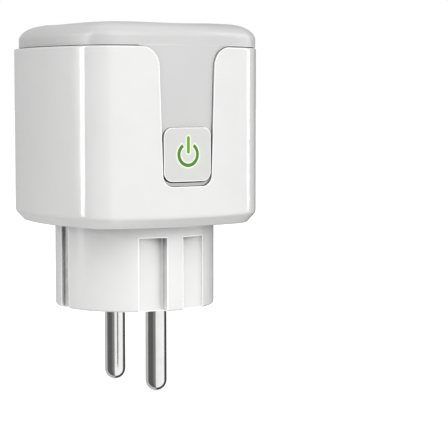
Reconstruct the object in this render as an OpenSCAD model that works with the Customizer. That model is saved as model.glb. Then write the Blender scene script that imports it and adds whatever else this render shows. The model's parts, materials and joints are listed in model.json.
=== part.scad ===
// Plug-in power meter: a square plug-through adapter with an earthed outlet on top, a plug with two round
// pins below, and a push button in the front. Millimetres. +Z points from the wall into the room, the front
// with the button faces -Y, and z = 0 is the flat rear wall around the plug body.

/* [Body] */
// Width across the flats of the square body
body_w = 49; // [48.5:0.1:49.5]
// Height of the body from the rear wall to the top of the lid
body_h = 44.8; // [44.6:0.1:46]
// Radius of the body's upright corners
corner_r = 9; // [8.8:0.1:9.3]
// Height of the seam between shell and lid
seam_z = 39.4; // [39.2:0.1:39.6]
// Width of the bevel around the rear wall
foot_w = 2.1; // [1.5:0.1:2.4]
// Height of the bevel around the rear wall
foot_h = 2.3; // [1.5:0.1:2.6]
// Width of the lid's crown, from its side to the flat rim
crown_w = 6.8; // [5:0.1:7]
// Height of the lid's crown
crown_h = 3.5; // [2.4:0.1:4]
// How far the lid and the tongue lie inside the shell's outer face
lid_inset = 0.6; // [0.4:0.05:0.7]
// Sideways offset of the lid
lid_x = 0.55; // [0:0.05:0.6]

/* [Tongue and button] */
// Sideways offset of the tongue and the button
tongue_x = -0.5; // [-0.6:0.1:0.6]
// Half width of the tongue at its upper end
tongue_top_half = 7; // [6.8:0.05:7.2]
// Half width of the tongue at its lower end
tongue_foot_half = 6.2; // [6.15:0.05:6.3]
// Height of the tongue's lower end
tongue_z = 9; // [8.8:0.1:9.4]
// Radius of the flares where the tongue meets the lid
flare_r = 4.4; // [3:0.1:4.6]
// Width of the button
button_w = 11.9; // [11.4:0.1:12]
// Height of the button
button_h = 11.75; // [11:0.05:12]

/* [Plug] */
// Diameter of the plug body
plug_d = 36.4; // [36:0.1:36.8]
// Depth of the plug body below the rear wall
plug_depth = 19; // [18.8:0.1:19.2]
// Diameter of the round pins
pin_d = 4.8; // [4.75:0.05:4.85]
// Free length of the round pins
pin_len = 19; // [18.5:0.1:19.5]
// Distance between the pin axes
pin_pitch = 19; // [19:0.1:19.2]
// Distance of the earth tube from the plug's axis
earth_offset = 10; // [9.8:0.1:10.2]
// Bore of the earth tube
earth_bore_d = 4.9; // [4.8:0.1:5]

/* [Outlet] */
// Diameter of the outlet well
well_d = 39.2; // [39:0.1:39.4]
// Depth of the outlet well
well_depth = 17.5; // [17:0.1:17.6]
// Diameter of the pin entry holes
entry_d = 5.4; // [5.2:0.1:5.8]

/* [Hidden] */
$fn = 64;

// Colours of the pieces
white = [0.94, 0.94, 0.93];
light_grey = [0.82, 0.82, 0.83];
dark_grey = [0.25, 0.25, 0.27];
nickel = [0.75, 0.75, 0.77];
brass = [0.78, 0.65, 0.36];
copper = [0.75, 0.45, 0.3];
board_green = [0.1, 0.4, 0.2];
cut = 0.5; // how far a cutting shape runs past the face it opens
gap = 0.12; // gap between moulded parts that fit into one another
bond = 0.1; // how far joined shapes of one part run into each other
rest = 0.05; // distance between parts that lie on one another

// The body's outline: four shallow side arcs joined smoothly by four corner arcs
body_half = body_w / 2;
corner_mid = 13.6; // both coordinates of a corner arc's centre
corner_reach = corner_mid - body_half;
side_r = (pow(corner_r, 2) - pow(corner_reach, 2) - pow(corner_mid, 2)) / (2 * (corner_reach + corner_r));
side_phi = atan2(corner_mid, corner_reach + side_r); // half the angle of a side arc
corner_overlap = 6; // angle by which a corner arc runs on under the side arcs
corner_swell = 0.004; // how far the corner arcs stand proud, so that they cross the side arcs cleanly
band_reach = 8; // depth of the swept band under the outline
core_half = 16.8; // half width of the square that fills the middle of a swept plate

shell_wall = 1.8;
shell_inside_r = 0.8;
rim_r = 0.4; // rounding of the shell's upper edge
foot_soft = 0.5; // rounding of the bevel's two edges
lid_gap = 0.2; // height of the seam between shell and lid
lid_wall = 2.4;
lid_top = 2;
lid_reach = 8.4; // depth of the lid's own band, which has to meet the square in its flat rim
rim_core = 14.7; // half width of the square that fills the lid's flat rim, inside the crown
skirt_out = 1.95; // outer face of the lid's skirt, inside the shell
skirt_in = 3.8;
skirt_z = 34;
backing_in = 3.2; // inner face of the plate behind the tongue
backing_half = 8.2;
backing_z = 6.8;
tongue_foot_r = 2.4;

button_z = tongue_z + 1.1; // lower edge of the button
button_mid_z = button_z + button_h / 2;
button_r = 2.1;
button_side_gap = 0.2;
button_top_gap = 0.1;
button_foot_gap = 0.3;
button_out = 0.1; // button face, inside the shell's outer face
button_flange_out = 3.35;
button_flange_in = 4.1;
button_flange = 0.9;
stem_r = 1.5;
icon_r = 2.74;
icon_stroke = 0.76;
icon_bar_h = 3.8;
icon_bar_z = 2.1; // middle of the bar above the ring's centre
icon_depth = 0.5;
icon_gap_angle = 34; // half the open angle of the ring

plug_r = plug_d / 2;
plug_floor = 4; // thickness of the plug's face wall
plug_cavity_r = 14.6;
flange_r = 20.3;
flange_t = 1.6;
guide_flat = 15.8; // distance of the guide recess floors from the axis
guide_half = 8.2;
guide_rib_half = 2.06;
guide_top_z = -2.6;
face_channel_w = 6.2;
face_channel_depth = 1.1;
side_channel_w = 3.4;
side_channel_floor = 16.6;
strap_t = 0.8;
strap_foot_w = 5.9;
strap_leg_w = 3;
strap_leg_top = -0.5;
earth_pocket = [8, 8.5];
earth_pocket_z = -12.4;
earth_tube_r = 2.8;
earth_tube_len = 15;

pin_r = pin_d / 2;
pin_x = pin_pitch / 2;
pin_collar_r = 3.2;
pin_collar_t = 1.2;
pin_shank_r = 1.9;
pin_neck_r = 1;
pin_bed_z = plug_floor - plug_depth; // height of the plug's inside floor, which the pin collars rest on
wire_x = 5.2; // where the earth wire passes the boards
wire_r = 0.8;

board_z = 4.4;
board_t = 1.6;
board_top = board_z + board_t;
board_inset = 2.4;
screw_at = 16.2;
screw_r = 1.2;
screw_boss_r = 2.4;
pilot_r = 1.1;
snap_half = 4;
snap_z = [35.4, 36.6];
snap_play = 0.25;

well_r = well_d / 2;
well_wall = 1.5;
floor_top = body_h - well_depth;
floor_t = 1.6;
floor_under = floor_top - floor_t;
entry_r = entry_d / 2;
boss_in = 16.4; // guide bosses in the well stand outside this distance
boss_x = [2.5, 8.3];
boss_h = 15.5;
clip_slot = [6.4, 28, 38.5]; // width, foot and top of the slot for an earth clip

shutter_t = 1.6;
shutter_z = floor_under - 0.6 - shutter_t;
post_r = 1.5;
running = 0.05; // radial clearance of a running fit
shutter_cover_t = 1.4;
shutter_cover_z = shutter_z - 0.2 - shutter_cover_t;
cover_boss_at = 12; // distance of the cover's screws from the axis
cover_boss_turn = 24; // angle of the cover's screws from the X axis
cover_boss_r = 2.1;
cover_screw_r = 0.78;

bracket_z = 20.6;
bracket_w = 5;

contact_z = [9.2, 20.4];
contact_r = 2.5;
contact_t = 0.6;

control_y = -17.6; // front face of the upright control board
control_t = 1.6;
switch_t = 1.6;
plunger_r = 1;
plunger_reach = 0.75;

relay_low = [7.2, -9.5];
relay_size = [10.6, 19, 13.6];
relay_base_t = 1.6;
relay_leg_r = 0.45;
relay_leg_x = 4.1;
relay_leg_y = 8;
relay_wall = 0.6;
coil_mid = [relay_low[0] + relay_size[0] / 2, 3.4];
coil_z = [9.2, 14.4];
yoke_top = 15.9;
armature_t = 0.9;
armature_lift = 0.1;
lead_r = 0.3;
header_pitch = 2.54;
chip_pitch = 1.27;

// The point at distance r from a centre, in the direction of an angle
function polar(mid, r, angle) = mid + r * [cos(angle), sin(angle)];

// Points along an arc about a centre, from one angle to another
function arc(mid, r, from, to, steps = 8) =
    [for (i = [0:steps]) polar(mid, r, from + (to - from) * i / steps)];

// Points of a rectangle with rounded corners, centred on the origin
function rounded(w, h, r) = [
    for (k = [0:3])
        let (mid = [(k == 0 || k == 3 ? 1 : -1) * (w / 2 - r), (k < 2 ? 1 : -1) * (h / 2 - r)])
        each arc(mid, r, 90 * k, 90 * k + 90)
];

// Points of a quarter ellipse about a centre, from its side to its top
function quarter_ellipse(mid, w, h, steps) =
    [for (i = [0:steps]) mid + [w * cos(90 * i / steps), h * sin(90 * i / steps)]];

function unit(v) = v / norm(v);
function left_of(v) = [-v[1], v[0]];

// The point beside bend i of a path, at distance d to its left, mitred between the two runs
function beside(path, i, d) =
    let (last = len(path) - 1)
    let (before = left_of(unit(path[max(i, 1)] - path[max(i, 1) - 1])))
    let (after = left_of(unit(path[min(i, last - 1) + 1] - path[min(i, last - 1)])))
    let (middle = unit(before + after))
    path[i] + middle * d / (middle * before);

// Points that soften a polygon's corner b between its neighbours a and c
function soft_corner(a, b, c, reach, steps = 4) =
    let (start = b + unit(a - b) * reach)
    let (end = b + unit(c - b) * reach)
    [for (i = [0:steps]) let (t = i / steps) pow(1 - t, 2) * start + 2 * t * (1 - t) * b + pow(t, 2) * end];

// Section of a strip of even thickness that is bent along a path
module strip_section(path, thick) {
    last = len(path) - 1;
    polygon(concat(
        [for (i = [0:last]) beside(path, i, thick / 2)],
        [for (i = [last:-1:0]) beside(path, i, -thick / 2)]
    ));
}

// A bent strip: the path lies in the XZ plane and the strip is w wide along Y
module bent_strip(path, thick, w) {
    translate([0, w / 2, 0]) rotate([90, 0, 0]) linear_extrude(w) strip_section(path, thick);
}

// A drawing in the XZ plane about the tongue's middle line, pushed through the front wall
module through_front() {
    translate([tongue_x, -18.5, 0]) rotate([90, 0, 0]) linear_extrude(8) children();
}

// Sweep a section around the body's outline: its x counts outward from the outline, its y upward
module around_outline() {
    corner_start = side_phi - corner_overlap;
    for (quarter = [0:3])
        rotate([0, 0, 90 * quarter]) {
            translate([body_half - side_r, 0, 0])
                rotate_extrude(angle = 2 * side_phi, start = -side_phi)
                    translate([side_r, 0]) children();
            translate([corner_mid, corner_mid, 0])
                rotate_extrude(angle = 90 - 2 * corner_start, start = corner_start)
                    translate([corner_r + corner_swell, 0]) children();
        }
}

// A plate with the body's outline, inset from it, between two heights
module outline_plate(inset, z0, z1) {
    around_outline() translate([-band_reach, z0]) square([band_reach - inset, z1 - z0]);
    translate([-core_half, -core_half, z0]) cube([2 * core_half, 2 * core_half, z1 - z0]);
}

// A band along the outline between two insets and two heights
module outline_band(outer, inner, z0, z1) {
    difference() {
        outline_plate(outer, z0, z1);
        outline_plate(inner, z0 - cut, z1 + cut);
    }
}

// The same band along the front side only
module front_band(outer, inner, z0, z1) {
    translate([0, side_r - body_half, 0])
        rotate_extrude(angle = 2 * side_phi, start = -90 - side_phi)
            translate([side_r - inner, z0]) square([inner - outer, z1 - z0]);
}

module upright(x, y, z0, z1, r) {
    translate([x, y, z0]) cylinder(r = r, h = z1 - z0);
}

module block(low, high) {
    translate(low) cube(high - low);
}

// The tongue's outline, drawn in the XZ plane and made smaller by a margin: straight tapered sides, round
// lower corners, and flares that turn outward into the seam
module tongue_outline(margin) {
    foot = tongue_foot_half - margin;
    top = tongue_top_half - margin;
    corner = tongue_foot_r - margin;
    low = tongue_z + margin;
    flare = flare_r + margin;
    polygon(concat(
        arc([corner - foot, low + corner], corner, 180, 270),
        arc([foot - corner, low + corner], corner, 270, 360),
        arc([top + flare, seam_z - flare_r], flare, 180, 90),
        [[top + flare, seam_z + cut], [-top - flare, seam_z + cut]],
        arc([-top - flare, seam_z - flare_r], flare, 90, 0)
    ));
}

module button_outline(margin) {
    translate([0, button_mid_z])
        polygon(rounded(button_w + 2 * margin, button_h + 2 * margin, button_r + margin));
}

// The opening around the button, wider below it than above it
module button_opening() {
    w = button_w + 2 * button_side_gap;
    h = button_h + button_top_gap + button_foot_gap;
    translate([0, button_z - button_foot_gap + h / 2])
        polygon(rounded(w, h, button_r + button_side_gap));
}

// White square sleeve with the rear wall, open at the top and around the tongue
module outer_shell() {
    wall_end = [-band_reach, 0];
    bevel_in = [-foot_w, 0];
    bevel_out = [0, foot_h];
    side_end = [0, seam_z];
    color(white) difference() {
        union() {
            around_outline() polygon(concat(
                [wall_end],
                soft_corner(wall_end, bevel_in, bevel_out, foot_soft),
                soft_corner(bevel_in, bevel_out, side_end, foot_soft),
                arc([-rim_r, seam_z - rim_r], rim_r, 0, 90, 3),
                [[-band_reach, seam_z]]
            ));
            block([-core_half, -core_half, 0], [core_half, core_half, shell_wall]);
        }
        around_outline() polygon(concat(
            [[-band_reach - cut, seam_z + cut]],
            [[-band_reach - cut, shell_wall]],
            arc([-shell_wall - shell_inside_r, shell_wall + shell_inside_r], shell_inside_r, -90, 0, 4),
            [[-shell_wall, seam_z + cut]]
        ));
        upright(0, 0, -cut, shell_wall + cut, plug_r + gap);
        through_front() tongue_outline(0);
        for (side = [0, 90, 180]) rotate([0, 0, side]) snap(snap_play);
    }
    color(white) for (x = [-1, 1], y = [-1, 1]) screw_boss(x * screw_at, y * screw_at);
}

// One boss for a board screw, standing on the rear wall
module screw_boss(x, y) {
    difference() {
        upright(x, y, shell_wall - bond, board_z, screw_boss_r);
        upright(x, y, shell_wall + bond, board_z + cut, pilot_r);
    }
}

// Snap catch of the lid on the +X side; a margin makes it the window that it drops into
module snap(margin) {
    low = [body_half - skirt_out - 0.6, -snap_half - margin, snap_z[0] - margin];
    high = [body_half - shell_wall + 0.4 + margin, snap_half + margin, snap_z[1] + margin];
    block(low, high);
}

// Light grey lid with the outlet well inside it and the tongue down the front
module top_cover() {
    well_out = well_r + well_wall;
    color(light_grey) difference() {
        union() {
            translate([lid_x, 0, 0]) lid();
            outline_band(skirt_out, skirt_in, skirt_z, seam_z + 1);
            upright(0, 0, floor_under, body_h - lid_top + bond, well_out);
            tongue();
            intersection() {
                front_band(skirt_out, backing_in, backing_z, seam_z);
                through_front() translate([-backing_half, 0]) square([2 * backing_half, body_h]);
            }
            for (side = [0, 90, 180]) rotate([0, 0, side]) snap(0);
        }
        upright(0, 0, floor_top, body_h + cut, well_r);
        for (y = [-pin_x, pin_x]) upright(0, y, floor_under - cut, floor_top + cut, entry_r);
        for (side = [0, 180]) rotate([0, 0, side])
            block([well_r - 2, -clip_slot[0] / 2, clip_slot[1]],
                [well_out + 1, clip_slot[0] / 2, clip_slot[2]]);
        through_front() button_opening();
    }
    color(light_grey) for (side = [0, 180], x = [-1, 1]) rotate([0, 0, side]) guide_boss(x);
    color(light_grey) upright(0, 0, shutter_cover_z + shutter_cover_t, floor_under + bond, post_r);
    color(light_grey) at_cover_bosses() difference() {
        upright(0, 0, shutter_cover_z + shutter_cover_t, floor_under + bond, cover_boss_r);
        upright(0, 0, shutter_cover_z, floor_under, cover_screw_r + 0.02);
    }
}

// The tongue's face; beside the button it leaves the sides to the gap
module tongue() {
    difference() {
        intersection() {
            front_band(lid_inset, skirt_out + bond, tongue_z, seam_z + lid_gap + bond);
            through_front() tongue_outline(gap);
        }
        through_front() translate([-button_w, button_z + button_r])
            square([2 * button_w, button_h - 2 * button_r]);
    }
}

// Repeats a shape at the two screws of the shutter's cover
module at_cover_bosses() {
    for (side = [0, 180]) rotate([0, 0, side + cover_boss_turn]) translate([cover_boss_at, 0, 0]) children();
}

// The lid: an upright side, a gently curved crown and a flat rim, hollow below
module lid() {
    lid_z = seam_z + lid_gap;
    crown_mid = [-lid_inset - crown_w, body_h - crown_h];
    difference() {
        union() {
            around_outline() polygon(concat(
                [[-lid_reach, lid_z], [-lid_inset, lid_z]],
                quarter_ellipse(crown_mid, crown_w, crown_h, 18),
                [[-lid_reach, body_h]]
            ));
            block([-rim_core, -rim_core, body_h - lid_top], [rim_core, rim_core, body_h]);
        }
        around_outline() translate([-lid_reach - cut, lid_z - cut])
            square([lid_reach + cut - lid_inset - lid_wall, body_h - lid_top - lid_z + cut]);
    }
}

// Guide boss in the well, one of a pair at the -Y side, that fits a plug's side recess
module guide_boss(side) {
    intersection() {
        upright(0, 0, floor_top - bond, floor_top + boss_h, well_r + 0.3);
        block([side > 0 ? boss_x[0] : -boss_x[1], -well_r - 1, floor_top - bond],
            [side > 0 ? boss_x[1] : -boss_x[0], -boss_in, floor_top + boss_h]);
    }
}

// Round plug body: a cup with guide recesses, earth channels, and a flange that stays inside the shell
module plug_body() {
    edge_r = 0.6;
    flange_top = shell_wall + flange_t;
    tower_half = 5.3; // half width of the block around the earth pocket
    color(white) difference() {
        rotate_extrude() polygon(concat(
            [[0, -plug_depth]],
            arc([plug_r - edge_r, edge_r - plug_depth], edge_r, -90, 0, 4),
            [[plug_r, shell_wall + rest], [flange_r, shell_wall + rest], [flange_r, flange_top]],
            [[0, flange_top]]
        ));
        difference() {
            upright(0, 0, pin_bed_z, flange_top + cut, plug_cavity_r);
            block([earth_offset - tower_half, -tower_half, -plug_depth],
                [earth_offset + tower_half, tower_half, earth_pocket_z + 1.4]);
        }
        for (side = [0, 180], x = [-1, 1]) rotate([0, 0, side]) guide_recess(x);
        for (side = [0, 180]) rotate([0, 0, side])
            block([side_channel_floor, -side_channel_w / 2, -plug_depth - cut],
                [plug_r + 1, side_channel_w / 2, 0]);
        block([-side_channel_floor, -face_channel_w / 2, -plug_depth - cut],
            [side_channel_floor, face_channel_w / 2, face_channel_depth - plug_depth]);
        block([earth_offset - earth_pocket[0] / 2, -earth_pocket[1] / 2, -plug_depth - cut],
            [earth_offset + earth_pocket[0] / 2, earth_pocket[1] / 2, earth_pocket_z]);
        upright(earth_offset, 0, -plug_depth, 0, earth_tube_r + rest);
        for (y = [-pin_x, pin_x]) upright(0, y, -plug_depth - cut, 0, pin_shank_r + rest);
    }
}

// One recess beside the guide rib at the -Y side of the plug body
module guide_recess(side) {
    block([side > 0 ? guide_rib_half : -guide_half, -plug_r - 1, -plug_depth - cut],
        [side > 0 ? guide_half : -guide_rib_half, -guide_flat, guide_top_z]);
}

// Front button with its curved face, retaining flange and the stem behind it
module button_cap() {
    stem_end = control_y - switch_t - plunger_reach - rest;
    color(light_grey) difference() {
        union() {
            intersection() {
                front_band(button_out, button_flange_out + bond, 0, body_h);
                through_front() button_outline(0);
            }
            intersection() {
                front_band(button_flange_out, button_flange_in, 0, body_h);
                through_front() button_outline(button_flange);
            }
            translate([tongue_x, stem_end, button_mid_z]) rotate([90, 0, 0]) cylinder(r = stem_r, h = 1.5);
        }
        icon();
    }
}

// The icon: an open ring with an upright bar in its gap, sunk into the button's face
module icon() {
    from = 90 + icon_gap_angle;
    to = 450 - icon_gap_angle;
    intersection() {
        front_band(-1, button_out + icon_depth, 0, body_h);
        through_front() translate([0, button_mid_z]) {
            polygon(concat(
                arc([0, 0], icon_r, from, to, 32),
                arc([0, 0], icon_r - icon_stroke, to, from, 32)
            ));
            translate([0, icon_bar_z]) polygon(rounded(icon_stroke, icon_bar_h, 0.45 * icon_stroke));
        }
    }
}

// Clear green light guide that fills the icon
module power_icon() {
    color([0.45, 0.8, 0.3]) intersection() {
        icon();
        front_band(button_out, button_flange_in, 0, body_h);
    }
}

// Round plug pin with a domed tip, a collar inside the plug, and a neck soldered into the board
module plug_pin(y) {
    collar_top = pin_bed_z + pin_collar_t;
    shank_top = board_z - 0.6;
    neck_top = board_top + 1;
    translate([0, y, 0]) rotate_extrude() polygon(concat(
        [[0, -plug_depth - pin_len]],
        arc([0, pin_r - plug_depth - pin_len], pin_r, -90, 0, 10),
        [[pin_r, -plug_depth], [pin_shank_r, -plug_depth], [pin_shank_r, pin_bed_z]],
        [[pin_collar_r, pin_bed_z], [pin_collar_r, collar_top], [pin_shank_r, collar_top]],
        [[pin_shank_r, shank_top], [pin_neck_r, shank_top], [pin_neck_r, neck_top], [0, neck_top]]
    ));
}

module pin_live() {
    color(nickel) plug_pin(-pin_x);
}

module pin_neutral() {
    color(nickel) plug_pin(pin_x);
}

// Plate that holds both pin collars down on the plug's face wall
module pin_retainer() {
    half = [4.6, 13.2];
    low = pin_bed_z + pin_collar_t + rest;
    high = low + 1.8;
    color(dark_grey) difference() {
        block([-half[0], -half[1], low], [half[0], half[1], high]);
        for (y = [-pin_x, pin_x]) upright(0, y, low - cut, high + cut, pin_shank_r + rest);
    }
}

// U-shaped earth strap: up both sides of the plug and across its face, dipping into the earth pocket
module earth_strap() {
    face_z = face_channel_depth - plug_depth - strap_t / 2 - rest;
    leg_x = side_channel_floor + strap_t / 2 + rest;
    foot_x = side_channel_floor - rest;
    dip_half = earth_pocket[0] / 2 - strap_t / 2 - rest;
    dip = [earth_offset - dip_half, earth_offset + dip_half];
    dip_z = earth_pocket_z - strap_t / 2 - rest;
    plate_half = earth_pocket[1] / 2 - gap;
    color(nickel) difference() {
        union() {
            bent_strip([[-foot_x, face_z], [dip[0], face_z], [dip[0], dip_z],
                [dip[1], dip_z], [dip[1], face_z], [foot_x, face_z]], strap_t, strap_foot_w);
            for (side = [-1, 1])
                bent_strip([[side * (foot_x - strap_t), face_z], [side * leg_x, face_z],
                    [side * leg_x, strap_leg_top]], strap_t, strap_leg_w);
            block([dip[0] - strap_t / 2, -plate_half, dip_z - strap_t / 2],
                [dip[1] + strap_t / 2, plate_half, dip_z + strap_t / 2]);
        }
        upright(earth_offset, 0, dip_z - 1, dip_z + 1, earth_tube_r + rest);
    }
}

// Turned tube that takes the wall outlet's earth pin
module earth_tube() {
    low = 0.4 - plug_depth;
    color(nickel) difference() {
        upright(earth_offset, 0, low, low + earth_tube_len, earth_tube_r);
        upright(earth_offset, 0, low - cut, low + earth_tube_len - 1.2, earth_bore_d / 2);
    }
}

// Black plate around the earth tube that closes the pocket
module pocket_plate() {
    half = [earth_pocket[0] / 2 - strap_t - 2 * rest, earth_pocket[1] / 2 - gap];
    low = earth_pocket_z - 4;
    high = low + 1;
    color(dark_grey) difference() {
        block([earth_offset - half[0], -half[1], low], [earth_offset + half[0], half[1], high]);
        upright(earth_offset, 0, low - cut, high + cut, earth_tube_r + rest);
    }
}

// Insulated earth wire from the tube to the outlet's earth bracket, with two right-angle bends
module earth_wire() {
    bend = 1.6;
    from_z = 0.4 - plug_depth + earth_tube_len + rest;
    run_z = 0.4;
    run = earth_offset - wire_x - 2 * bend;
    color([0.5, 0.7, 0.2]) union() {
        upright(earth_offset, 0, from_z, run_z, wire_r);
        translate([earth_offset - bend, 0, run_z]) rotate([90, 0, 0])
            rotate_extrude(angle = 90) translate([bend, 0]) circle(wire_r);
        translate([wire_x + bend, 0, run_z + bend]) rotate([0, 90, 0]) cylinder(r = wire_r, h = run);
        translate([wire_x + bend, 0, run_z + 2 * bend]) rotate([90, 0, 0])
            rotate_extrude(angle = 90, start = 180) translate([bend, 0]) circle(wire_r);
        upright(wire_x, 0, run_z + 2 * bend, bracket_z - strap_t / 2 - rest, wire_r);
    }
}

// Spring contact for one pin of the plugged-in appliance: a slotted tube with a leg into the board
module contact(side) {
    out = contact_r + contact_t;
    leg_y = side * (pin_x + out);
    color(brass) difference() {
        union() {
            upright(0, side * pin_x, contact_z[0], contact_z[1], out);
            block([-1.6, leg_y - contact_t / 2, 7], [1.6, leg_y + contact_t / 2, 19]);
            block([-1, leg_y - contact_t / 2, board_z - 0.4], [1, leg_y + contact_t / 2, 7 + bond]);
        }
        upright(0, side * pin_x, contact_z[0] - cut, contact_z[1] + cut, contact_r);
        block([-out - 1, side * pin_x - 0.5, contact_z[0] - 1], [out + 1, side * pin_x + 0.5, 17]);
    }
}

module live_contact() {
    contact(-1);
}

module neutral_contact() {
    contact(1);
}

// Earth bracket of the outlet: a strip under the well that rises on both sides into bent clips
module outlet_earth_bracket() {
    out_x = well_r + well_wall + 0.65;
    clip = [[out_x - 0.4, bracket_z], [out_x, bracket_z + 0.6], [out_x, 29.2], [17.9, 34.2], [19.6, 37.6]];
    color(brass) union() {
        bent_strip([[-out_x, bracket_z], [out_x, bracket_z]], strap_t, bracket_w);
        for (side = [0, 180]) rotate([0, 0, side]) bent_strip(clip, 0.6, bracket_w);
    }
}

// Rotary shutter that closes both pin entries and turns aside when both pins press on it
module shutter() {
    arm_half = 19.5;
    hub_r = 3.4;
    arm_r = 13;
    color([0.75, 0.75, 0.7]) difference() {
        union() {
            upright(0, 0, shutter_z, shutter_z + shutter_t, hub_r);
            for (side = [-90, 90])
                rotate_extrude(angle = 2 * arm_half, start = side - arm_half)
                    translate([hub_r - 0.6, shutter_z]) square([arm_r - hub_r + 0.6, shutter_t]);
        }
        upright(0, 0, shutter_z - cut, shutter_z + shutter_t + cut, post_r + running);
    }
}

// Return spring of the shutter: a planar wire loop around the pivot post with two straight legs
module shutter_spring() {
    thick = 0.2;
    loop_r = 2.2;
    leg = 4.5;
    color(nickel) translate([0, 0, shutter_z + shutter_t + 0.3]) {
        rotate_extrude(angle = 270) translate([loop_r, 0]) circle(r = thick);
        translate([loop_r, 0, 0]) rotate([90, 0, 0]) cylinder(r = thick, h = leg);
        translate([0, -loop_r, 0]) rotate([0, 90, 0]) cylinder(r = thick, h = leg / 3);
    }
}

// Plate that holds the shutter up against the well's floor
module shutter_cover() {
    low = shutter_cover_z;
    high = low + shutter_cover_t;
    color([0.75, 0.75, 0.7]) difference() {
        upright(0, 0, low, high - rest, 14.6);
        for (y = [-pin_x, pin_x]) upright(0, y, low - cut, high + cut, entry_r + 0.1);
        at_cover_bosses() upright(0, 0, low - cut, high + cut, cover_screw_r + 0.3);
    }
}

// A screw with a round head and a cross slot, its head's underside at height z, pointing down or up
module screw(x, y, z, r, length, up) {
    head_r = 1.75 * r;
    slot = [1.4 * head_r, 0.4, r];
    translate([x, y, z]) mirror([0, 0, up ? 1 : 0]) difference() {
        union() {
            cylinder(r = head_r, h = r);
            translate([0, 0, -length]) cylinder(r = r, h = length + bond);
        }
        for (turn = [0, 90]) rotate([0, 0, turn])
            translate([-slot[0] / 2, -slot[1] / 2, 0.45 * r]) cube(slot);
    }
}

module shutter_screws() {
    color(nickel) at_cover_bosses() screw(0, 0, shutter_cover_z - 0.02, cover_screw_r, 3.4, true);
}

// Main circuit board, with holes for pins, wire, contact legs and screws
module main_board() {
    low = board_z - cut;
    high = board_top + cut;
    leg_y = pin_x + contact_r + contact_t;
    color(board_green) difference() {
        outline_plate(board_inset, board_z, board_top);
        for (x = [-1, 1], y = [-1, 1]) upright(x * screw_at, y * screw_at, low, high, screw_r + 0.1);
        for (y = [-pin_x, pin_x]) upright(0, y, low, high, pin_neck_r + rest);
        upright(wire_x, 0, low, high, wire_r + 0.15);
        for (side = [0, 180]) rotate([0, 0, side])
            block([-1.15, -leg_y - 0.45, low], [1.15, 0.45 - leg_y, high]);
        at_relay_legs() upright(0, 0, low, high, relay_leg_r + 0.1);
    }
}

module board_screws() {
    color(nickel) for (x = [-1, 1], y = [-1, 1])
        screw(x * screw_at, y * screw_at, board_top + 0.02, pilot_r - 0.02, 4, false);
}

// Upright board behind the button, carrying the switch, the light and the radio
module control_board() {
    color(board_green) block([-9, control_y, board_top + rest], [9, control_y + control_t, 21]);
}

// Pin header that joins the two boards
module board_header() {
    low = board_top + rest;
    back = control_y + control_t;
    color(dark_grey) block([-5.1, back + 0.05, low], [5.1, back + 2.3, low + 2.4]);
    color(brass) for (i = [-1.5:1.5])
        block([i * header_pitch - 0.3, back + 2.2, low], [i * header_pitch + 0.3, back + 2.8, low + 1]);
}

// Body of the push switch, with a round well for its plunger
module tact_switch() {
    half = 2.6;
    color(dark_grey) difference() {
        block([tongue_x - half, control_y - switch_t, button_mid_z - half],
            [tongue_x + half, control_y - 0.02, button_mid_z + half]);
        translate([tongue_x, control_y - 0.3, button_mid_z]) rotate([90, 0, 0])
            cylinder(r = plunger_r + running, h = switch_t);
    }
}

// Plunger of the push switch
module tact_plunger() {
    back = 0.75; // distance of its inner end from the board
    color([0.9, 0.9, 0.88]) translate([tongue_x, control_y - back, button_mid_z]) rotate([90, 0, 0])
        cylinder(r = plunger_r, h = switch_t - back + plunger_reach);
}

// Indicator light that shines through the icon
module status_led() {
    low = [tongue_x - 1.6, control_y - 0.9, button_mid_z + 3.2];
    color([0.9, 0.95, 0.85]) block(low, low + [3.2, 0.88, 1.6]);
}

// Radio module on the back of the upright board
module wifi_module() {
    back = control_y + control_t;
    color([0.15, 0.2, 0.25]) block([-7.5, back + 0.02, 9.2], [7.5, back + 0.8, 20.8]);
}

module wifi_shield() {
    back = control_y + control_t + 0.85;
    color(nickel) block([-5.5, back, 9.8], [5.5, back + 1.4, 17]);
}

// Base of the relay, with four legs into the board
module relay_base() {
    high = relay_low + [relay_size[0], relay_size[1]];
    color([0.1, 0.25, 0.55]) difference() {
        block([relay_low[0], relay_low[1], board_top + rest], [high[0], high[1], board_top + relay_base_t]);
        block([coil_mid[0] - 2.2, -7.9, board_top], [coil_mid[0] + 2.2, -6.9, board_top + 4]);
    }
    color(nickel) at_relay_legs() upright(0, 0, board_z, board_top + 0.5, relay_leg_r);
}

// Repeats a shape at the relay's four legs
module at_relay_legs() {
    for (x = [-relay_leg_x, relay_leg_x], y = [-relay_leg_y, relay_leg_y])
        translate([coil_mid[0] + x, y, 0]) children();
}

// Dust cover of the relay
module relay_case() {
    low = [relay_low[0], relay_low[1], board_top + relay_base_t + 0.03];
    high = [relay_low[0] + relay_size[0], relay_low[1] + relay_size[1], board_top + relay_size[2]];
    color([0.12, 0.3, 0.6]) difference() {
        block(low, high);
        block(low + [relay_wall, relay_wall, -cut], high - [relay_wall, relay_wall, relay_wall]);
    }
}

// Spool that carries the coil
module relay_bobbin() {
    color([0.9, 0.9, 0.85]) difference() {
        union() {
            upright(coil_mid[0], coil_mid[1], coil_z[0] - 0.6, coil_z[0], 4.1);
            upright(coil_mid[0], coil_mid[1], coil_z[0] - 0.6, coil_z[1] + 0.6, 2);
            upright(coil_mid[0], coil_mid[1], coil_z[1], coil_z[1] + 0.6, 4.1);
        }
        upright(coil_mid[0], coil_mid[1], 0, 20, 1.55);
    }
}

// Copper winding
module relay_coil() {
    color(copper) difference() {
        upright(coil_mid[0], coil_mid[1], coil_z[0] + 0.03, coil_z[1] - 0.03, 3.8);
        upright(coil_mid[0], coil_mid[1], 0, 20, 2.03);
    }
}

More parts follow.
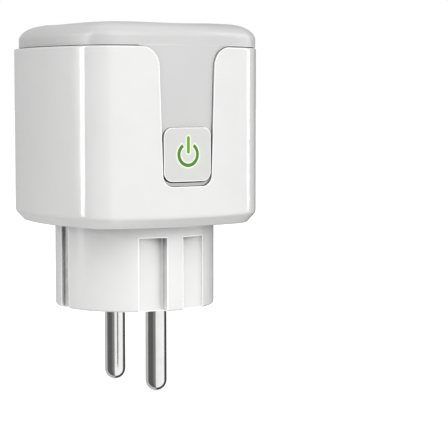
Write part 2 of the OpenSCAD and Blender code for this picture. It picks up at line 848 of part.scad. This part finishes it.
// Iron yoke and core: up the back of the coil and through its middle
module relay_yoke() {
    base = board_top + relay_base_t + 0.03;
    color([0.6, 0.6, 0.62]) union() {
        block([coil_mid[0] - 3, coil_mid[1] - 2, base], [coil_mid[0] + 3, 8.7, base + 0.9]);
        block([coil_mid[0] - 3, 7.8, base], [coil_mid[0] + 3, 8.7, yoke_top]);
        upright(coil_mid[0], coil_mid[1], base + 0.5, yoke_top - 0.2, 1.5);
    }
}

// Hinged armature that the core pulls down
module relay_armature() {
    low = yoke_top + armature_lift;
    color([0.6, 0.6, 0.62]) block([coil_mid[0] - 3, 1.2, low], [coil_mid[0] + 3, 8.2, low + armature_t]);
}

// Leaf spring on the armature, with the moving contact at its free end
module relay_moving_spring() {
    low = yoke_top + armature_lift + armature_t + 0.01;
    color(copper) union() {
        block([coil_mid[0] - 1.6, -7.4, low], [coil_mid[0] + 1.6, 7.4, low + 0.25]);
        upright(coil_mid[0], -5.6, low - 0.8, low + 0.1, 1.2);
    }
}

// Fixed contact on its post
module relay_fixed_contact() {
    top = 15.4;
    color(copper) union() {
        block([coil_mid[0] - 2, -7.7, board_top + 0.1], [coil_mid[0] + 2, -7.1, top - 0.6]);
        block([coil_mid[0] - 2, -7.7, top - 1.2], [coil_mid[0] + 2, -4.4, top - 0.6]);
        upright(coil_mid[0], -5.6, top - 0.8, top, 1.2);
    }
}

// Strip from the live pin's neck to the relay
module live_in_strip() {
    color(copper) difference() {
        block([-1.8, -pin_x - 1.8, board_top + rest], [6.9, -pin_x + 1.8, board_top + 0.6]);
        upright(0, -pin_x, board_top - cut, board_top + 2, pin_neck_r + rest);
    }
}

// Strip from the neutral pin's neck to the outlet's neutral contact
module neutral_strip() {
    color(copper) difference() {
        block([-1.8, pin_x - 1.8, board_top + rest], [1.8, pin_x + contact_r + 0.2, board_top + 0.6]);
        upright(0, pin_x, board_top - cut, board_top + 2, pin_neck_r + rest);
    }
}

// Metering shunt: a metal bridge with two soldered feet
module shunt_resistor() {
    z = board_top + 0.3;
    path = [[-3.2, z], [-1.6, z], [-1.2, z + 1.4], [1.2, z + 1.4], [1.6, z], [3.2, z]];
    color(copper) translate([-3.6, -3, 0]) bent_strip(path, 0.5, 3.2);
}

// Metering chip with its rows of legs
module metering_chip() {
    half = [2.45, 1.95];
    translate([-3.6, 3, board_top + 0.15]) {
        color(dark_grey) block([-half[0], -half[1], 0], [half[0], half[1], 1.5]);
        color(nickel) for (i = [-1.5:1.5], side = [0, 180]) rotate([0, 0, side])
            translate([i * chip_pitch, 0, 0]) block([-0.2, half[1] - rest, -0.1], [0.2, half[1] + 1, 0.2]);
    }
}

// Rectifier with four legs
module bridge_rectifier() {
    low = [-13.2, -14.2, board_top + rest];
    color(dark_grey) block(low, low + [4.8, 3.8, 2.4]);
    color(nickel) for (x = [1, 3.4]) block(low + [x, -1.2, 0], low + [x + 0.6, 5, 0.3]);
}

// Drum-core inductor of the supply
module supply_inductor() {
    at = [-10.6, -4.6];
    low = board_top + rest;
    color(dark_grey) upright(at[0], at[1], low, low + 1, 3);
    color(copper) upright(at[0], at[1], low + 0.9, low + 6, 2.5);
    color(dark_grey) upright(at[0], at[1], low + 5.9, low + 7, 3);
}

// An upright round capacitor
module capacitor(x, y, r, height) {
    groove = 0.3;
    translate([x, y, board_top + rest]) rotate_extrude() polygon([
        [0, 0], [r - 0.2, 0], [r, 0.2], [r, 1.2], [r - groove, 1.5], [r, 1.8],
        [r, height - groove], [r - groove, height], [0, height],
    ]);
}

module bulk_capacitor() {
    color([0.15, 0.15, 0.3]) capacitor(-11, 9.6, 4, 12.5);
}

module output_capacitor() {
    color([0.15, 0.15, 0.3]) capacitor(-10.6, 2.1, 2.5, 9);
}

// Surge absorber: an upright disc on two leads
module varistor() {
    r = 3.6;
    t = 2.6;
    translate([-17.2, 4, board_top]) {
        color([0.2, 0.4, 0.7]) translate([0, 0, r + 1.6]) rotate([0, 90, 0]) cylinder(r = r, h = t);
        color(nickel) for (y = [-2.2, 2.2]) upright(t / 2, y, rest, r - 0.4, lead_r);
    }
}

// A small barrel lying along Y on the board, with a lead out of each end
module lying_barrel(x, y, r, length, leads) {
    translate([x, y, board_top + r + 0.1]) rotate([90, 0, 0]) {
        color([0.6, 0.65, 0.55]) cylinder(r = r, h = length, center = true);
        color(nickel) cylinder(r = lead_r, h = leads, center = true);
    }
}

module fusible_resistor() {
    lying_barrel(-16.4, -5.4, 1.5, 8, 10);
}

module thermal_fuse() {
    lying_barrel(19.7, 0, 1.3, 9, 12);
}

outer_shell();
top_cover();
plug_body();
button_cap();
power_icon();
pin_live();
pin_neutral();
pin_retainer();
earth_strap();
earth_tube();
pocket_plate();
earth_wire();
live_contact();
neutral_contact();
outlet_earth_bracket();
shutter();
shutter_spring();
shutter_cover();
shutter_screws();
main_board();
board_screws();
control_board();
board_header();
tact_switch();
tact_plunger();
status_led();
wifi_module();
wifi_shield();
relay_base();
relay_case();
relay_bobbin();
relay_coil();
relay_yoke();
relay_armature();
relay_moving_spring();
relay_fixed_contact();
live_in_strip();
neutral_strip();
shunt_resistor();
metering_chip();
bridge_rectifier();
supply_inductor();
bulk_capacitor();
output_capacitor();
varistor();
fusible_resistor();
thermal_fuse();
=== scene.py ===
# Looks for the plug-in power meter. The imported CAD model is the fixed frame; everything is in metres.
import json
import math

import bmesh
import bpy
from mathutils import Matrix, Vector


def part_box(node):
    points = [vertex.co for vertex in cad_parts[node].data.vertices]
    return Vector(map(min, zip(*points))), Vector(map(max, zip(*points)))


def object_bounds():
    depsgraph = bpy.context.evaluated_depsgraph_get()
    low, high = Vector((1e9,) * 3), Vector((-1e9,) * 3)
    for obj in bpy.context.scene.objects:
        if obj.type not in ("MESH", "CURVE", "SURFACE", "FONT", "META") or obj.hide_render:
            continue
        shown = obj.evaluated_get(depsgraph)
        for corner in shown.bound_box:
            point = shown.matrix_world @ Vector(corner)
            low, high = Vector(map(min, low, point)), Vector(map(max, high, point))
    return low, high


MM = 0.001
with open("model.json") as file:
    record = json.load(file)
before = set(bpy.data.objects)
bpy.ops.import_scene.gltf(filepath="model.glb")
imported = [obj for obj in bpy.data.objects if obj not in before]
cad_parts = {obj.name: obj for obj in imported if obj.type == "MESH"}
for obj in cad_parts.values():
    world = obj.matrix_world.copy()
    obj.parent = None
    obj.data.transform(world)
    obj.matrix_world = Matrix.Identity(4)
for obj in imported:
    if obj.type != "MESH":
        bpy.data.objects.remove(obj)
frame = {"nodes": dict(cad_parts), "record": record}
cad_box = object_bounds()


# ---------------------------------------------------------------- values

# Colours
WHITE = (0.85, 0.85, 0.845)
# the shell's white made lighter for the plug: painted light, as the plug is the shell's plastic
PLUG_LIT_WHITE = (0.92, 0.92, 0.915)
COVER_GREY = (0.665, 0.665, 0.662)
BUTTON_GREY = (0.735, 0.737, 0.727)
NICKEL = (0.76, 0.755, 0.75)
# colour of the painted highlight along the rounded edges
EDGE_HIGHLIGHT_WHITE = (0.97, 0.97, 0.965)
ICON_GREEN = (0.072, 0.195, 0.028)
ICON_LIGHT = (0.145, 0.32, 0.024)
# pale green painted onto the button as the lit icon's glow
HALO_GREEN = (0.80, 0.97, 0.66)

# Painted highlight and shade masks
MASK_SAMPLES = 6
NOISE_SPAN = (0.35, 0.65)  # part of a noise's range that a ramp spreads out
PAINTED_SHADE_TONE = 0.25  # how dark the painted shade gets deep in a gap
CREVICE_OPENNESS = (0.3, 0.75)  # open share of the surroundings deep in a gap, and where the gap ends
EDGE_MM = 0.45  # reach of the mask for the painted highlight along sharp edges
EDGE_AGREEMENT = (0.90, 0.998)  # how far rounded and real normals agree on an edge, and on a face

# Power icon: shares of the ring's outer radius, and lengths in metres
STROKE_HALF = 0.139
OPENING_SLOPE = 0.67
OPENING_FADE = (-0.35 * MM, -0.05 * MM)
BAR_MIDDLE = 2.1 * MM  # height of the bar's middle above the ring's centre
BAR_HALF = 1.5 * MM
BAR_SIDE = (0.17, 0.2)
BAR_FOOT = (-0.3, -0.2)
GLOW_START, GLOW_END = 0.1 * MM, 0.6 * MM  # distances from a stroke's edge

# Rounding of the CAD edges
BEVEL_MM = {"outer_shell": 0.26, "top_cover": 0.2, "plug_body": 0.25, "button_cap": 0.34, "power_icon": 0.04,
            "earth_strap": 0.15, "pin_live": 0.08, "pin_neutral": 0.08, "earth_tube": 0.1, "shutter": 0.15}
SMALL_BEVEL_MM = 0.08

# Floor and studio
FLOOR_HALF = 6.0
FLOOR_GREY = 0.82
FLOOR_LIFT = 0.7  # added brightness where the camera sees the floor
FLOOR_DROP = 0.2 * MM  # air under the pin tips
BRIGHT_SIDE = -8  # azimuth of the brightest side of the soft light
SIDE_LIGHT = (0.30, 0.89)  # soft light from the side opposite to it, and from it
TOP_LIGHT = 0.27  # added from above
CEILING = 0.9  # what polished surfaces see above them

# What polished surfaces see around them, by azimuth in degrees: 0 is in front of the button and negative
# angles are to its left.
STUDIO_BANDS = ((-180, 0.60), (-146, 0.60), (-132, 0.66), (-123, 0.12), (-66, 0.13), (-56, 0.25), (-37, 0.29),
                (-30, 1.1), (66, 1.2), (75, 0.09), (140, 0.07), (156, 0.50), (180, 0.60))


# ---------------------------------------------------------------- node helpers


def new_material(name):
    material = bpy.data.materials.new(name)
    material.use_nodes = True
    tree = material.node_tree
    return material, tree, tree.nodes["Principled BSDF"]


def feed(tree, node, inputs):
    """Fills a node's inputs: a socket is linked to its input, anything else becomes the input's value."""
    for key, value in inputs.items():
        if isinstance(value, bpy.types.NodeSocket):
            tree.links.new(value, node.inputs[key])
        else:
            node.inputs[key].default_value = value


def add(tree, kind, inputs, **settings):
    """A new node with its settings made and its inputs filled."""
    node = tree.nodes.new(kind)
    for key, value in settings.items():
        setattr(node, key, value)
    feed(tree, node, inputs)
    return node


def opaque(colour):
    return (*colour, 1)


def grey(level):
    return (level, level, level, 1)


def scaled(colour, factor):
    return tuple(min(1.0, c * factor) for c in colour)


def place(tree, stretch=(1, 1, 1)):
    """The place on the object in metres, stretched along the axes."""
    point = add(tree, "ShaderNodeNewGeometry", {})
    mapping = add(tree, "ShaderNodeMapping", {"Vector": point.outputs["Position"], "Scale": stretch})
    return mapping.outputs["Vector"]


def noise(tree, size_mm, stretch=(1, 1, 1), detail=3.0, rough=0.5):
    """Noise whose features are about size_mm across."""
    scale = 1 / (size_mm * MM)
    inputs = {"Vector": place(tree, stretch), "Scale": scale, "Detail": detail, "Roughness": rough}
    return add(tree, "ShaderNodeTexNoise", inputs).outputs["Fac"]


def ramp(tree, source, low, high):
    """Spreads a noise between two grey levels or two colours."""
    node = add(tree, "ShaderNodeValToRGB", {"Fac": source})
    for element, position, value in zip(node.color_ramp.elements, NOISE_SPAN, (low, high)):
        element.position = position
        element.color = grey(value) if isinstance(value, (int, float)) else opaque(value)
    return node.outputs["Color"]


def bump(tree, shader, layers):
    """Chains bump layers: each is (height source, depth in mm)."""
    normal = None
    for source, depth_mm in layers:
        node = add(tree, "ShaderNodeBump", {"Height": source, "Strength": 1.0, "Distance": depth_mm * MM})
        if normal is not None:
            tree.links.new(normal, node.inputs["Normal"])
        normal = node.outputs["Normal"]
    tree.links.new(normal, shader.inputs["Normal"])


def calculate(tree, operation, *values):
    """A math node fed with sockets and numbers."""
    return add(tree, "ShaderNodeMath", dict(enumerate(values)), operation=operation).outputs["Value"]


def remap(tree, source, low, high, to_low=0.0, to_high=1.0, kind="SMOOTHSTEP"):
    """Maps one span of values onto another and holds them at its ends."""
    inputs = {"Value": source, "From Min": low, "From Max": high, "To Min": to_low, "To Max": to_high}
    return add(tree, "ShaderNodeMapRange", inputs, interpolation_type=kind).outputs["Result"]


def mixed(tree, factor, first, second):
    """Blends from one colour to another as factor goes from 0 to 1."""
    inputs = {"Factor": factor, "A": first, "B": second}
    return add(tree, "ShaderNodeMix", inputs, data_type="RGBA").outputs["Result"]


def painted_crevice_shade(tree, reach_mm):
    """Painted shade: a factor that is 1 in the open and falls to the darkest shade tone deep in gaps and
    inner corners.
    """
    node = add(tree, "ShaderNodeAmbientOcclusion", {"Distance": reach_mm * MM}, samples=MASK_SAMPLES)
    return remap(tree, node.outputs["AO"], *CREVICE_OPENNESS, PAINTED_SHADE_TONE, 1.0)


def edges(tree):
    """1 on the rounded edges of a moulding, 0 on its faces."""
    rounded = add(tree, "ShaderNodeBevel", {"Radius": EDGE_MM * MM}, samples=MASK_SAMPLES)
    real = add(tree, "ShaderNodeNewGeometry", {})
    normals = {0: rounded.outputs["Normal"], 1: real.outputs["Normal"]}
    agreement = add(tree, "ShaderNodeVectorMath", normals, operation="DOT_PRODUCT")
    return remap(tree, agreement.outputs["Value"], *EDGE_AGREEMENT, 1.0, 0.0)


def painted_edges_and_shade(tree, colour, reach_mm):
    """A colour socket, painted lighter along the edges as a highlight and darker in gaps and inner corners as
    shade.
    """
    # painted highlight along the edges, then painted shade in gaps
    polished = mixed(tree, edges(tree), colour, opaque(EDGE_HIGHLIGHT_WHITE))
    inputs = {0: polished, "Scale": painted_crevice_shade(tree, reach_mm)}
    return add(tree, "ShaderNodeVectorMath", inputs, operation="SCALE").outputs["Vector"]


# ---------------------------------------------------------------- materials


def moulded_plastic(name, colour, rough=0.3, grain_mm=0.0, grain_depth=0.0, coat=0.0, subsurface=0.0,
                    shade_reach_mm=1.4, edge_light=0.0):
    """Moulded plastic: faint colour drift, uneven polish, slow waviness and optionally a fine eroded grain.
    Its colour carries a painted highlight along the edges and painted shade in gaps and inner corners.

    edge_light adds a painted glow along the sharp edges, standing in for a thin glossy edge that catches
    every light at once."""
    drift_mm, polish_mm, wave_mm, wave_depth = 9, 2.2, 5, 0.004
    material, tree, shader = new_material(name)
    drift = ramp(tree, noise(tree, drift_mm, detail=2), scaled(colour, 0.985), scaled(colour, 1.01))
    feed(tree, shader, {
        "Base Color": painted_edges_and_shade(tree, drift, shade_reach_mm),
        "Roughness": ramp(tree, noise(tree, polish_mm, detail=4), rough * 0.9, rough * 1.12),
        "IOR": 1.5,
        "Coat Weight": coat,
        "Coat Roughness": 0.06,
        "Subsurface Weight": subsurface,
        "Subsurface Radius": (1.0, 0.95, 0.9),
        "Subsurface Scale": 0.6 * MM,
    })
    layers = [(noise(tree, wave_mm, detail=1), wave_depth)]
    if grain_mm:
        layers.append((noise(tree, grain_mm, detail=2, rough=0.6), grain_depth))
    bump(tree, shader, layers)
    # painted glowing highlight along the edges
    if edge_light:
        strength = calculate(tree, "MULTIPLY", edges(tree), edge_light)
        feed(tree, shader, {"Emission Color": grey(1), "Emission Strength": strength})
    return material


def plated_metal(name, colour, rough=0.15, brush=(1, 1, 0.04)):
    """Plated or rolled metal: streaks along the axes that brush shrinks, soft tarnish, uneven polish."""
    brush_mm, scratch_mm, tarnish_mm = 0.12, 0.0005, 3.5
    material, tree, shader = new_material(name)
    streaks = noise(tree, brush_mm, stretch=brush)
    tarnish = noise(tree, tarnish_mm, detail=4)
    feed(tree, shader, {
        "Base Color": ramp(tree, tarnish, scaled(colour, 0.96), scaled(colour, 1.02)),
        "Roughness": ramp(tree, streaks, rough * 0.75, rough * 1.35),
        "Metallic": 1.0,
    })
    bump(tree, shader, [(streaks, scratch_mm)])
    return material


def laminate(name, colour):
    """Circuit board: solder mask over glass weave, with etched tracks and bright pads in a regular layout."""
    track_mm, weave_mm, track_depth, weave_depth = 9, 1.2, 0.03, 0.004
    material, tree, shader = new_material(name)
    tracks = add(tree, "ShaderNodeTexBrick", {
        "Vector": place(tree),
        "Scale": 1 / (track_mm * MM),
        "Mortar Size": 0.055,
        "Color1": opaque(scaled(colour, 0.8)),
        "Color2": opaque(scaled(colour, 1.1)),
        "Mortar": opaque(scaled(colour, 1.9)),
    }, offset=0.35, squash=1.0)
    inputs = {"Vector": place(tree), "Scale": 1 / (weave_mm * MM)}
    weave = add(tree, "ShaderNodeTexWave", inputs, bands_direction="DIAGONAL")
    bump(tree, shader, [(tracks.outputs["Fac"], track_depth), (weave.outputs["Fac"], weave_depth)])
    feed(tree, shader, {"Base Color": tracks.outputs["Color"], "Roughness": 0.32})
    return material


def wound_copper(name, colour, pitch_mm):
    """Enamelled wire wound around an upright spool: fine level turns."""
    wave_length, turn_depth = 0.31, 0.05  # the wave texture's own period, and the grooves' depth in mm
    material, tree, shader = new_material(name)
    inputs = {"Vector": place(tree), "Scale": wave_length / (pitch_mm * MM), "Distortion": 0.4}
    turns = add(tree, "ShaderNodeTexWave", inputs, bands_direction="Z")
    feed(tree, shader, {
        "Base Color": ramp(tree, turns.outputs["Fac"], scaled(colour, 0.5), colour),
        "Metallic": 0.85,
        "Roughness": 0.3,
    })
    bump(tree, shader, [(turns.outputs["Fac"], turn_depth)])
    return material


def clear_resin(name, colour):
    material, tree, shader = new_material(name)
    polish = ramp(tree, noise(tree, 0.5), 0.08, 0.2)
    feed(tree, shader, {"Base Color": opaque(colour), "Transmission Weight": 0.6, "Roughness": polish})
    return material


# ---------------------------------------------------------------- the lit icon and its button


def icon_plane(tree):
    """Distance beside and above the centre of the icon's ring, in metres, and the ring's outer radius."""
    low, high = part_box("power_icon")
    radius = (high.x - low.x) / 2
    point = add(tree, "ShaderNodeNewGeometry", {})
    axes = add(tree, "ShaderNodeSeparateXYZ", {"Vector": point.outputs["Position"]})
    beside = calculate(tree, "ABSOLUTE", calculate(tree, "SUBTRACT", axes.outputs["X"], (low.x + high.x) / 2))
    above = calculate(tree, "SUBTRACT", axes.outputs["Z"], low.z + radius)
    return beside, above, radius


def length(tree, a, b):
    squares = calculate(tree, "ADD", calculate(tree, "POWER", a, 2.0), calculate(tree, "POWER", b, 2.0))
    return calculate(tree, "SQRT", squares)


def icon_glow(tree):
    """1 beside the icon's strokes, fading to 0 about half a millimetre away from them."""
    beside, above, radius = icon_plane(tree)
    half = radius * STROKE_HALF
    glow = (half + GLOW_START, half + GLOW_END, 1.0, 0.0)
    from_centre = length(tree, beside, above)
    to_ring = calculate(tree, "ABSOLUTE", calculate(tree, "SUBTRACT", from_centre, radius - half))
    opening = calculate(tree, "SUBTRACT", beside, calculate(tree, "MULTIPLY", above, OPENING_SLOPE))
    in_ring = remap(tree, opening, *OPENING_FADE)
    ring = calculate(tree, "MULTIPLY", remap(tree, to_ring, *glow), in_ring)
    from_middle = calculate(tree, "ABSOLUTE", calculate(tree, "SUBTRACT", above, BAR_MIDDLE))
    past_end = calculate(tree, "MAXIMUM", calculate(tree, "SUBTRACT", from_middle, BAR_HALF), 0.0)
    bar = remap(tree, length(tree, beside, past_end), *glow)
    return calculate(tree, "MAXIMUM", ring, bar)


def button_plastic(name, colour):
    """Satin plastic with a painted glow: a thin pale green halo painted into its colour along the icon's
    strokes, where the lit icon shines through.
    """
    # edge_light paints a glowing highlight on the cap's edges
    material = moulded_plastic(name, colour, rough=0.38, grain_mm=0.09, grain_depth=0.0025, subsurface=0.05,
                               edge_light=0.3)
    tree = material.node_tree
    shader = tree.nodes["Principled BSDF"]
    plain = shader.inputs["Base Color"].links[0].from_socket
    feed(tree, shader, {"Base Color": mixed(tree, icon_glow(tree), plain, opaque(HALO_GREEN))})
    return material


def lit_icon(name):
    """Light guide: the ring a deeper green, the bar lighter, both glowing a little."""
    material, tree, shader = new_material(name)
    beside, above, radius = icon_plane(tree)
    in_bar = remap(tree, beside, radius * BAR_SIDE[0], radius * BAR_SIDE[1], 1.0, 0.0)
    over_foot = remap(tree, above, radius * BAR_FOOT[0], radius * BAR_FOOT[1])
    light = calculate(tree, "MULTIPLY", in_bar, over_foot)
    colour = mixed(tree, light, opaque(ICON_GREEN), opaque(ICON_LIGHT))
    glow = {"Emission Color": colour, "Emission Strength": 0.12}
    feed(tree, shader, {"Base Color": colour, "Roughness": 0.35, **glow})
    return material


# ---------------------------------------------------------------- CAD nodes


def slot_colour(slot):
    for entry in frame["record"]["materials"]:
        if entry["slot"] == slot:
            return tuple(entry["base_color"][:3])
    raise KeyError(slot)


MATERIALS = {
    # edge_light paints a glowing highlight on the shell's edges; the reach sets how far painted shade spreads
    # from its gaps
    "shell_white": moulded_plastic("shell_white", WHITE, rough=0.17, coat=0.5, subsurface=0.06,
                                   shade_reach_mm=3.2, edge_light=0.32),
    "cover_grey": moulded_plastic("cover_grey", COVER_GREY, rough=0.36, grain_mm=0.12, grain_depth=0.003),
    "button_grey": button_plastic("button_grey", BUTTON_GREY),
    "icon_green": lit_icon("icon_green"),
    "pin_nickel": plated_metal("pin_nickel", NICKEL, rough=0.1),
    "strap_nickel": plated_metal("strap_nickel", NICKEL, rough=0.26, brush=(0.05, 1, 0.05)),
    "brass": plated_metal("brass", (0.78, 0.62, 0.30), rough=0.28),
    "copper": plated_metal("copper", (0.80, 0.46, 0.30), rough=0.3),
    "steel": plated_metal("steel", (0.62, 0.63, 0.65), rough=0.3),
    "board_green": laminate("board_green", slot_colour("board_green")),
    "black_plastic": moulded_plastic("black_plastic", (0.03, 0.03, 0.035), rough=0.5, grain_mm=0.1,
                                     grain_depth=0.004),
    "cream_plastic": moulded_plastic("cream_plastic", (0.74, 0.73, 0.70), rough=0.42, grain_mm=0.12,
                                     grain_depth=0.003),
    "relay_blue": moulded_plastic("relay_blue", (0.03, 0.13, 0.42), rough=0.28, coat=0.3),
    "capacitor_sleeve": moulded_plastic("capacitor_sleeve", (0.04, 0.05, 0.12), rough=0.25),
    "led_clear": clear_resin("led_clear", (0.85, 0.95, 0.80)),
    "wire_green": moulded_plastic("wire_green", (0.30, 0.55, 0.10), rough=0.35),
}
WINDING = wound_copper("copper_winding", (0.72, 0.36, 0.20), pitch_mm=0.22)
# The plug is the shell's plastic: this lighter copy paints light onto it, and the longer reach paints shade
# on its top under the body and on its recess walls.
PLUG_PLASTIC = moulded_plastic("plug_lit_white", PLUG_LIT_WHITE, rough=0.24, coat=0.2, subsurface=0.06,
                               shade_reach_mm=6.5, edge_light=0.4)
NODE_MATERIALS = {"relay_coil": WINDING, "supply_inductor": WINDING, "plug_body": PLUG_PLASTIC}


def soften(piece, width_mm):
    """Welds the CAD faces together, joins the flat ones, rounds the edges a little and evens the shading."""
    weld = piece.modifiers.new("weld", "WELD")
    weld.merge_threshold = 0.0005 * MM
    seams = piece.modifiers.new("seams", "DECIMATE")
    seams.decimate_type = "DISSOLVE"
    seams.angle_limit = math.radians(0.3)
    bevel = piece.modifiers.new("edges", "BEVEL")
    bevel.width = width_mm * MM
    bevel.segments = 3
    bevel.limit_method = "ANGLE"
    bevel.angle_limit = math.radians(32)
    bevel.use_clamp_overlap = True
    bevel.harden_normals = False
    normals = piece.modifiers.new("shading", "WEIGHTED_NORMAL")
    normals.keep_sharp = False
    piece.data.polygons.foreach_set("use_smooth", [True] * len(piece.data.polygons))


def dress_cad_nodes():
    slots = {entry["node"]: entry["material_slot"] for entry in frame["record"]["subparts"]}
    for name, piece in frame["nodes"].items():
        material = NODE_MATERIALS.get(name, MATERIALS[slots[name]])
        piece.data.materials.clear()
        piece.data.materials.append(material)
        soften(piece, BEVEL_MM.get(name, SMALL_BEVEL_MM))


# ---------------------------------------------------------------- camera, floor and light


def on_stage(name, data):
    """A new object of the scene, such as the camera or a lamp."""
    thing = bpy.data.objects.new(name, data)
    bpy.context.scene.collection.objects.link(thing)
    return thing


def make_camera():
    """The viewing angle: 30 degrees round to the left of the button face and a little above it."""
    azimuth, pitch, yaw = math.radians(-29.93), math.radians(4.41), math.radians(3.07)
    distance, height, lens_mm = 0.38485, 0.02886, 134.354
    data = bpy.data.cameras.new("camera")
    data.sensor_width = 36.0
    data.lens = lens_mm
    data.clip_start, data.clip_end = 0.01, 20
    camera = on_stage("camera", data)
    camera.location = (math.sin(azimuth) * distance, -math.cos(azimuth) * distance, height)
    heading, level = azimuth - yaw, math.cos(pitch)
    look = Vector((-math.sin(heading) * level, math.cos(heading) * level, -math.sin(pitch)))
    camera.rotation_euler = look.to_track_quat("-Z", "Y").to_euler()
    bpy.context.scene.camera = camera


def make_floor():
    """Pale floor at the pin tips, lifted to white where the camera sees it."""
    mesh = bpy.data.meshes.new("floor")
    shape = bmesh.new()
    bmesh.ops.create_grid(shape, x_segments=1, y_segments=1, size=FLOOR_HALF)
    shape.to_mesh(mesh)
    shape.free()
    floor = on_stage("floor", mesh)
    floor.location.z = cad_box[0][2] - FLOOR_DROP
    material, tree, shader = new_material("floor")
    seen = add(tree, "ShaderNodeLightPath", {})
    feed(tree, shader, {
        "Base Color": grey(FLOOR_GREY),
        "Roughness": 0.8,
        "Specular IOR Level": 0.05,
        "Emission Color": grey(1),
        "Emission Strength": calculate(tree, "MULTIPLY", seen.outputs["Is Camera Ray"], FLOOR_LIFT),
    })
    mesh.materials.append(material)
    floor.visible_glossy = False


def soft_light(tree, direction, height):
    """Strength of the light on matt surfaces: brightest from BRIGHT_SIDE, with some added from above."""
    side = math.radians(BRIGHT_SIDE)
    inputs = {0: direction, 1: (math.sin(side), -math.cos(side), 0)}
    across = add(tree, "ShaderNodeVectorMath", inputs, operation="DOT_PRODUCT").outputs["Value"]
    level = remap(tree, across, -1.0, 1.0, *SIDE_LIGHT, kind="LINEAR")
    return calculate(tree, "ADD", level, remap(tree, height, 0.1, 0.9, 0.0, TOP_LIGHT))


def studio_reflection(tree, axes):
    """Colour that polished surfaces see: bright and dark bands by azimuth under a plain ceiling."""
    to_front = calculate(tree, "MULTIPLY", axes["Y"], -1)
    angle = calculate(tree, "ARCTAN2", axes["X"], to_front)
    turn = calculate(tree, "MULTIPLY_ADD", angle, 0.5 / math.pi, 0.5)
    bands = add(tree, "ShaderNodeValToRGB", {"Fac": turn})
    stops = bands.color_ramp.elements
    stops.remove(stops[1])
    stops[0].color = grey(STUDIO_BANDS[0][1])
    for azimuth, level in STUDIO_BANDS[1:]:
        stops.new(azimuth / 360 + 0.5).color = grey(level)
    return mixed(tree, remap(tree, axes["Z"], 0.55, 0.8), bands.outputs["Color"], grey(CEILING))


def make_world():
    """White studio: even white to the camera, a soft gradient as light, and bands in reflections."""
    world = bpy.data.worlds.new("studio")
    bpy.context.scene.world = world
    world.use_nodes = True
    tree = world.node_tree
    tree.nodes.clear()
    direction = add(tree, "ShaderNodeTexCoord", {}).outputs["Generated"]
    axes = add(tree, "ShaderNodeSeparateXYZ", {"Vector": direction}).outputs
    soft = add(tree, "ShaderNodeBackground", {"Strength": soft_light(tree, direction, axes["Z"])})
    mirrored = add(tree, "ShaderNodeBackground", {"Color": studio_reflection(tree, axes)})
    white = add(tree, "ShaderNodeBackground", {"Color": grey(1)})

    ray = add(tree, "ShaderNodeLightPath", {}).outputs
    unseen = {"Fac": ray["Is Glossy Ray"], 1: soft.outputs["Background"], 2: mirrored.outputs["Background"]}
    by_gloss = add(tree, "ShaderNodeMixShader", unseen)
    seen = {"Fac": ray["Is Camera Ray"], 1: by_gloss.outputs["Shader"], 2: white.outputs["Background"]}
    by_camera = add(tree, "ShaderNodeMixShader", seen)
    add(tree, "ShaderNodeOutputWorld", {"Surface": by_camera.outputs["Shader"]})


def softbox(name, azimuth, elevation, distance, width, height, power, gloss_only=False):
    """Area light aimed at the object. Azimuth 0 stands in front of the button face."""
    data = bpy.data.lights.new(name, "AREA")
    data.shape = "RECTANGLE"
    data.size, data.size_y = width, height
    data.energy = power
    light = on_stage(name, data)
    a, e = math.radians(azimuth), math.radians(elevation)
    stand = Vector((math.sin(a) * math.cos(e), -math.cos(a) * math.cos(e), math.sin(e))) * distance
    light.location = stand
    light.rotation_euler = (-stand).to_track_quat("-Z", "Y").to_euler()
    light.visible_diffuse = not gloss_only


dress_cad_nodes()
make_camera()
make_floor()
make_world()
softbox("corner_strip", azimuth=-114, elevation=20, distance=0.9, width=0.19, height=0.8, power=5.0,
        gloss_only=True)
softbox("key", azimuth=-15, elevation=40, distance=1.0, width=0.7, height=0.7, power=4.0)
softbox("edge_strip", azimuth=74, elevation=23, distance=0.9, width=0.16, height=0.9, power=3.0,
        gloss_only=True)
bpy.context.scene.view_settings.view_transform = "Standard"
